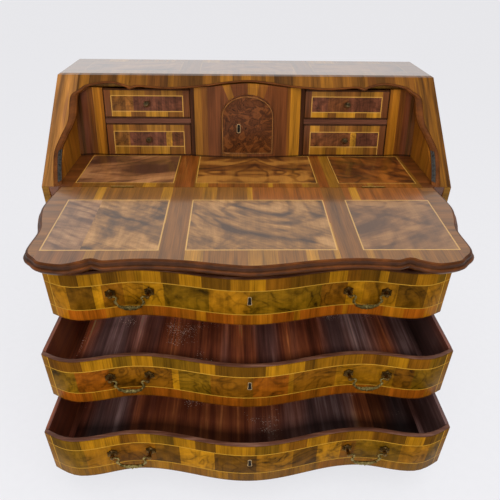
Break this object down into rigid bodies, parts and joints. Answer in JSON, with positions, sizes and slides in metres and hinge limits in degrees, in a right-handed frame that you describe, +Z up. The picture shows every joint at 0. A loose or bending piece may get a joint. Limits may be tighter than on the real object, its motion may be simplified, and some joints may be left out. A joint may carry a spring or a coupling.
{
  "type": "secretaire",
  "caption": "Slant-front writing desk in veneered walnut with serpentine long drawers, a shaped fall flap and a fitted interior, shown open",
  "frame": {"origin": "on the floor under the middle of the outline, with the drawers drawn out as in the picture", "axes": "+X to the right of someone who faces the desk, +Y to its back, +Z up"},
  "size_m": [1.08, 0.915, 0.981],
  "materials": {
    "walnut_veneer": "polished",
    "burl_veneer": "polished",
    "plain_back_wood": "matt",
    "stained_drawer_wood": "satin",
    "dark_turned_wood": "satin",
    "aged_brass": "aged"
  },
  "bodies": {
    "case": {"back_left_foot": "dark_turned_wood", "back_panel": "plain_back_wood", "back_right_foot": "dark_turned_wood", "bottom_board": "walnut_veneer", "centre_panel": "walnut_veneer", "flap_hinge_left": "aged_brass", "flap_hinge_right": "aged_brass", "frieze_rail": "walnut_veneer", "front_left_foot": "dark_turned_wood", "front_right_foot": "dark_turned_wood", "left_partition": "walnut_veneer", "left_shelf": "walnut_veneer", "left_side": "walnut_veneer", "left_wing": "walnut_veneer", "lower_rail_board": "walnut_veneer", "right_partition": "walnut_veneer", "right_shelf": "walnut_veneer", "right_side": "walnut_veneer", "right_wing": "walnut_veneer", "slanted_frame": "walnut_veneer", "support_board": "walnut_veneer", "top_board": "walnut_veneer", "upper_rail_board": "walnut_veneer", "writing_bed": "walnut_veneer"},
    "flap": {"flap": "walnut_veneer"},
    "left_support": {"left_flap_support": "walnut_veneer"},
    "right_support": {"right_flap_support": "walnut_veneer"},
    "door": {"arched_door": "burl_veneer"},
    "upper_drawer": {"upper_drawer_front": "walnut_veneer", "upper_drawer_tray": "stained_drawer_wood", "upper_left_left_rosette": "aged_brass", "upper_left_right_rosette": "aged_brass", "upper_right_left_rosette": "aged_brass", "upper_right_right_rosette": "aged_brass"},
    "upper_left_bail": {"upper_left_bail": "aged_brass"},
    "upper_right_bail": {"upper_right_bail": "aged_brass"},
    "middle_drawer": {"middle_drawer_front": "walnut_veneer", "middle_drawer_tray": "stained_drawer_wood", "middle_left_left_rosette": "aged_brass", "middle_left_right_rosette": "aged_brass", "middle_right_left_rosette": "aged_brass", "middle_right_right_rosette": "aged_brass"},
    "middle_left_bail": {"middle_left_bail": "aged_brass"},
    "middle_right_bail": {"middle_right_bail": "aged_brass"},
    "lower_drawer": {"lower_drawer_front": "walnut_veneer", "lower_drawer_tray": "stained_drawer_wood", "lower_left_left_rosette": "aged_brass", "lower_left_right_rosette": "aged_brass", "lower_right_left_rosette": "aged_brass", "lower_right_right_rosette": "aged_brass"},
    "lower_left_bail": {"lower_left_bail": "aged_brass"},
    "lower_right_bail": {"lower_right_bail": "aged_brass"},
    "upper_left_small_drawer": {"upper_left_small_drawer": "burl_veneer", "upper_left_knob": "aged_brass"},
    "upper_right_small_drawer": {"upper_right_small_drawer": "burl_veneer", "upper_right_knob": "aged_brass"},
    "lower_left_small_drawer": {"lower_left_small_drawer": "burl_veneer", "lower_left_knob": "aged_brass"},
    "lower_right_small_drawer": {"lower_right_small_drawer": "burl_veneer", "lower_right_knob": "aged_brass"}
  },
  "joints": [
    {"name": "flap_turns", "type": "hinge", "parent": "case", "child": "flap", "pos_m": [0, -0.04055, 0.76], "axis": [-1, 0, 0], "range_deg": [0, 144.07]},
    {"name": "left_support_slides", "type": "slide", "parent": "case", "child": "left_support", "axis": [0, -1, 0], "range_m": [-0.15, 0]},
    {"name": "right_support_slides", "type": "slide", "parent": "case", "child": "right_support", "axis": [0, -1, 0], "range_m": [-0.15, 0]},
    {"name": "upper_drawer_slides", "type": "slide", "parent": "case", "child": "upper_drawer", "axis": [0, -1, 0], "range_m": [-0.16, 0.245]},
    {"name": "upper_left_bail_swings", "type": "hinge", "parent": "upper_drawer", "child": "upper_left_bail", "pos_m": [-0.305, -0.23123, 0.5464], "axis": [-1, 0, 0], "range_deg": [0, 85]},
    {"name": "upper_right_bail_swings", "type": "hinge", "parent": "upper_drawer", "child": "upper_right_bail", "pos_m": [0.305, -0.23123, 0.5464], "axis": [-1, 0, 0], "range_deg": [0, 85]},
    {"name": "middle_drawer_slides", "type": "slide", "parent": "case", "child": "middle_drawer", "axis": [0, -1, 0], "range_m": [-0.274, 0.131]},
    {"name": "middle_left_bail_swings", "type": "hinge", "parent": "middle_drawer", "child": "middle_left_bail", "pos_m": [-0.305, -0.34523, 0.3661], "axis": [-1, 0, 0], "range_deg": [0, 85]},
    {"name": "middle_right_bail_swings", "type": "hinge", "parent": "middle_drawer", "child": "middle_right_bail", "pos_m": [0.305, -0.34523, 0.3661], "axis": [-1, 0, 0], "range_deg": [0, 85]},
    {"name": "lower_drawer_slides", "type": "slide", "parent": "case", "child": "lower_drawer", "axis": [0, -1, 0], "range_m": [-0.367, 0.038]},
    {"name": "lower_left_bail_swings", "type": "hinge", "parent": "lower_drawer", "child": "lower_left_bail", "pos_m": [-0.305, -0.43823, 0.1858], "axis": [-1, 0, 0], "range_deg": [0, 85]},
    {"name": "lower_right_bail_swings", "type": "hinge", "parent": "lower_drawer", "child": "lower_right_bail", "pos_m": [0.305, -0.43823, 0.1858], "axis": [-1, 0, 0], "range_deg": [0, 85]},
    {"name": "upper_left_small_drawer_slides", "type": "slide", "parent": "case", "child": "upper_left_small_drawer", "axis": [0, 1, 0], "range_m": [-0.14, 0]},
    {"name": "upper_right_small_drawer_slides", "type": "slide", "parent": "case", "child": "upper_right_small_drawer", "axis": [0, 1, 0], "range_m": [-0.14, 0]},
    {"name": "lower_left_small_drawer_slides", "type": "slide", "parent": "case", "child": "lower_left_small_drawer", "axis": [0, 1, 0], "range_m": [-0.14, 0]},
    {"name": "lower_right_small_drawer_slides", "type": "slide", "parent": "case", "child": "lower_right_small_drawer", "axis": [0, 1, 0], "range_m": [-0.14, 0]},
    {"name": "door_turns", "type": "hinge", "parent": "case", "child": "door", "pos_m": [0.0762, 0.16916, 0.7693], "axis": [0, -0.1961, -0.9806], "range_deg": [-95, 0]}
  ]
}
